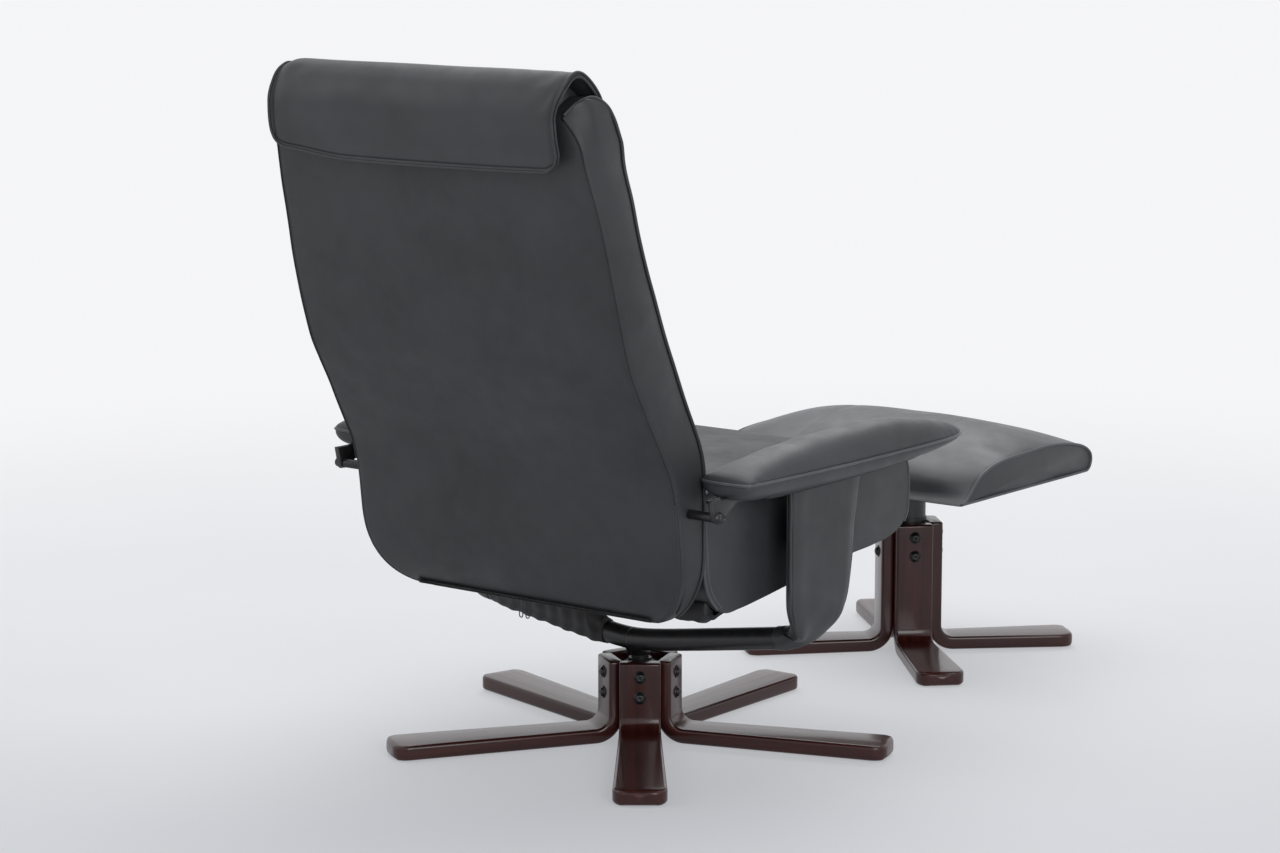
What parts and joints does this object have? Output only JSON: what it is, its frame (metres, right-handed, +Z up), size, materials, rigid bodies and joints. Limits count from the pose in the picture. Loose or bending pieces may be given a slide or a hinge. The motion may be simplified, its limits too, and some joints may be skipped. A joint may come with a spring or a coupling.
{
  "type": "recliner with ottoman",
  "caption": "Swivel recliner with a tall padded back and headrest flap on a bent wood star base, with a matching footstool.",
  "frame": {"origin": "middle of the whole set's footprint on the floor, at the lowest point of the glides", "axes": "+Z up, front of the chair and the ottoman towards -Y, the sitter's left arm towards +X"},
  "size_m": [0.768, 1.4404, 1.0225],
  "materials": {
    "wood_leg": "dark red-brown stained bent beech with a semi-gloss lacquer",
    "black_steel": "black painted steel, satin",
    "black_tube": "black enamelled steel tube, glossy",
    "bolt_steel": "blackened steel fasteners",
    "felt": "dark felt discs",
    "bush_plastic": "natural nylon",
    "plywood": "raw plywood",
    "leather_sleeve": "matte black upholstery leather over foam",
    "leather_cover": "matte black upholstery leather",
    "leather_pad": "matte black upholstery leather over foam",
    "leather_seat": "matte black upholstery leather over foam",
    "rail_steel": "zinc-plated steel",
    "screw_steel": "zinc-plated screws",
    "frame_steel": "black powder-coated frame steel",
    "spring_steel": "spring steel wire",
    "under_cloth": "black gathered under-cloth",
    "zip_black": "black coil zip"
  },
  "bodies": {
    "base": {"chair_leg_1": "wood_leg", "chair_leg_2": "wood_leg", "chair_leg_3": "wood_leg", "chair_leg_4": "wood_leg", "chair_leg_5": "wood_leg", "base_hub": "black_steel", "leg_bolts": "bolt_steel", "base_glides": "felt", "swivel_bush": "bush_plastic"},
    "carrier": {"spindle": "black_steel", "carrier_tube_left": "black_tube", "carrier_tube_right": "black_tube", "tube_saddle": "black_tube", "arm_sleeve_left": "leather_sleeve", "arm_sleeve_right": "leather_sleeve", "arm_plate_left": "black_steel", "arm_plate_right": "black_steel", "arm_board_left": "plywood", "arm_board_right": "plywood", "arm_pad_left": "leather_pad", "arm_pad_right": "leather_pad", "pivot_rod": "black_steel", "rod_hardware": "bolt_steel", "seat_rail_left": "rail_steel", "seat_rail_right": "rail_steel", "frame_screws": "screw_steel"},
    "seat": {"seat_frame": "frame_steel", "seat_studs": "rail_steel", "seat_springs": "spring_steel", "seat_cover": "leather_cover", "seat_cushion": "leather_seat", "seat_bag": "under_cloth"},
    "back": {"back_frame": "frame_steel", "back_springs": "spring_steel", "back_cover": "leather_cover", "back_cushion": "leather_seat", "head_bolster": "leather_seat", "head_flap": "leather_cover", "back_zip": "zip_black", "cover_hooks": "spring_steel"},
    "ottoman": {"ottoman_leg_1": "wood_leg", "ottoman_leg_2": "wood_leg", "ottoman_leg_3": "wood_leg", "ottoman_leg_4": "wood_leg", "ottoman_hub": "black_steel", "ottoman_bolts": "bolt_steel", "ottoman_glides": "felt", "ottoman_post": "black_tube", "ottoman_plate": "black_steel", "ottoman_board": "plywood", "ottoman_pad": "leather_pad", "ottoman_screws": "screw_steel"}
  },
  "joints": [
    {"name": "chair_swivel", "type": "hinge", "parent": "base", "child": "carrier", "pos_m": [0, 0.21665, 0.12], "axis": [0, 0, 1], "continuous": true},
    {"name": "back_recline", "type": "hinge", "parent": "carrier", "child": "back", "pos_m": [0, 0.48795, 0.4161], "axis": [-1, 0, 0], "range_deg": [0, 25]},
    {"name": "seat_glide", "type": "slide", "parent": "carrier", "child": "seat", "axis": [0, -1, 0], "range_m": [0, 0.0547]},
    {"name": "ottoman_slide", "type": "slide", "parent": "base", "child": "ottoman", "axis": [0, -1, 0], "range_m": [0, 0.4]}
  ],
  "couplings": [
    {"joint": "seat_glide", "follows": "back_recline", "m_per_rad": 0.125}
  ]
}
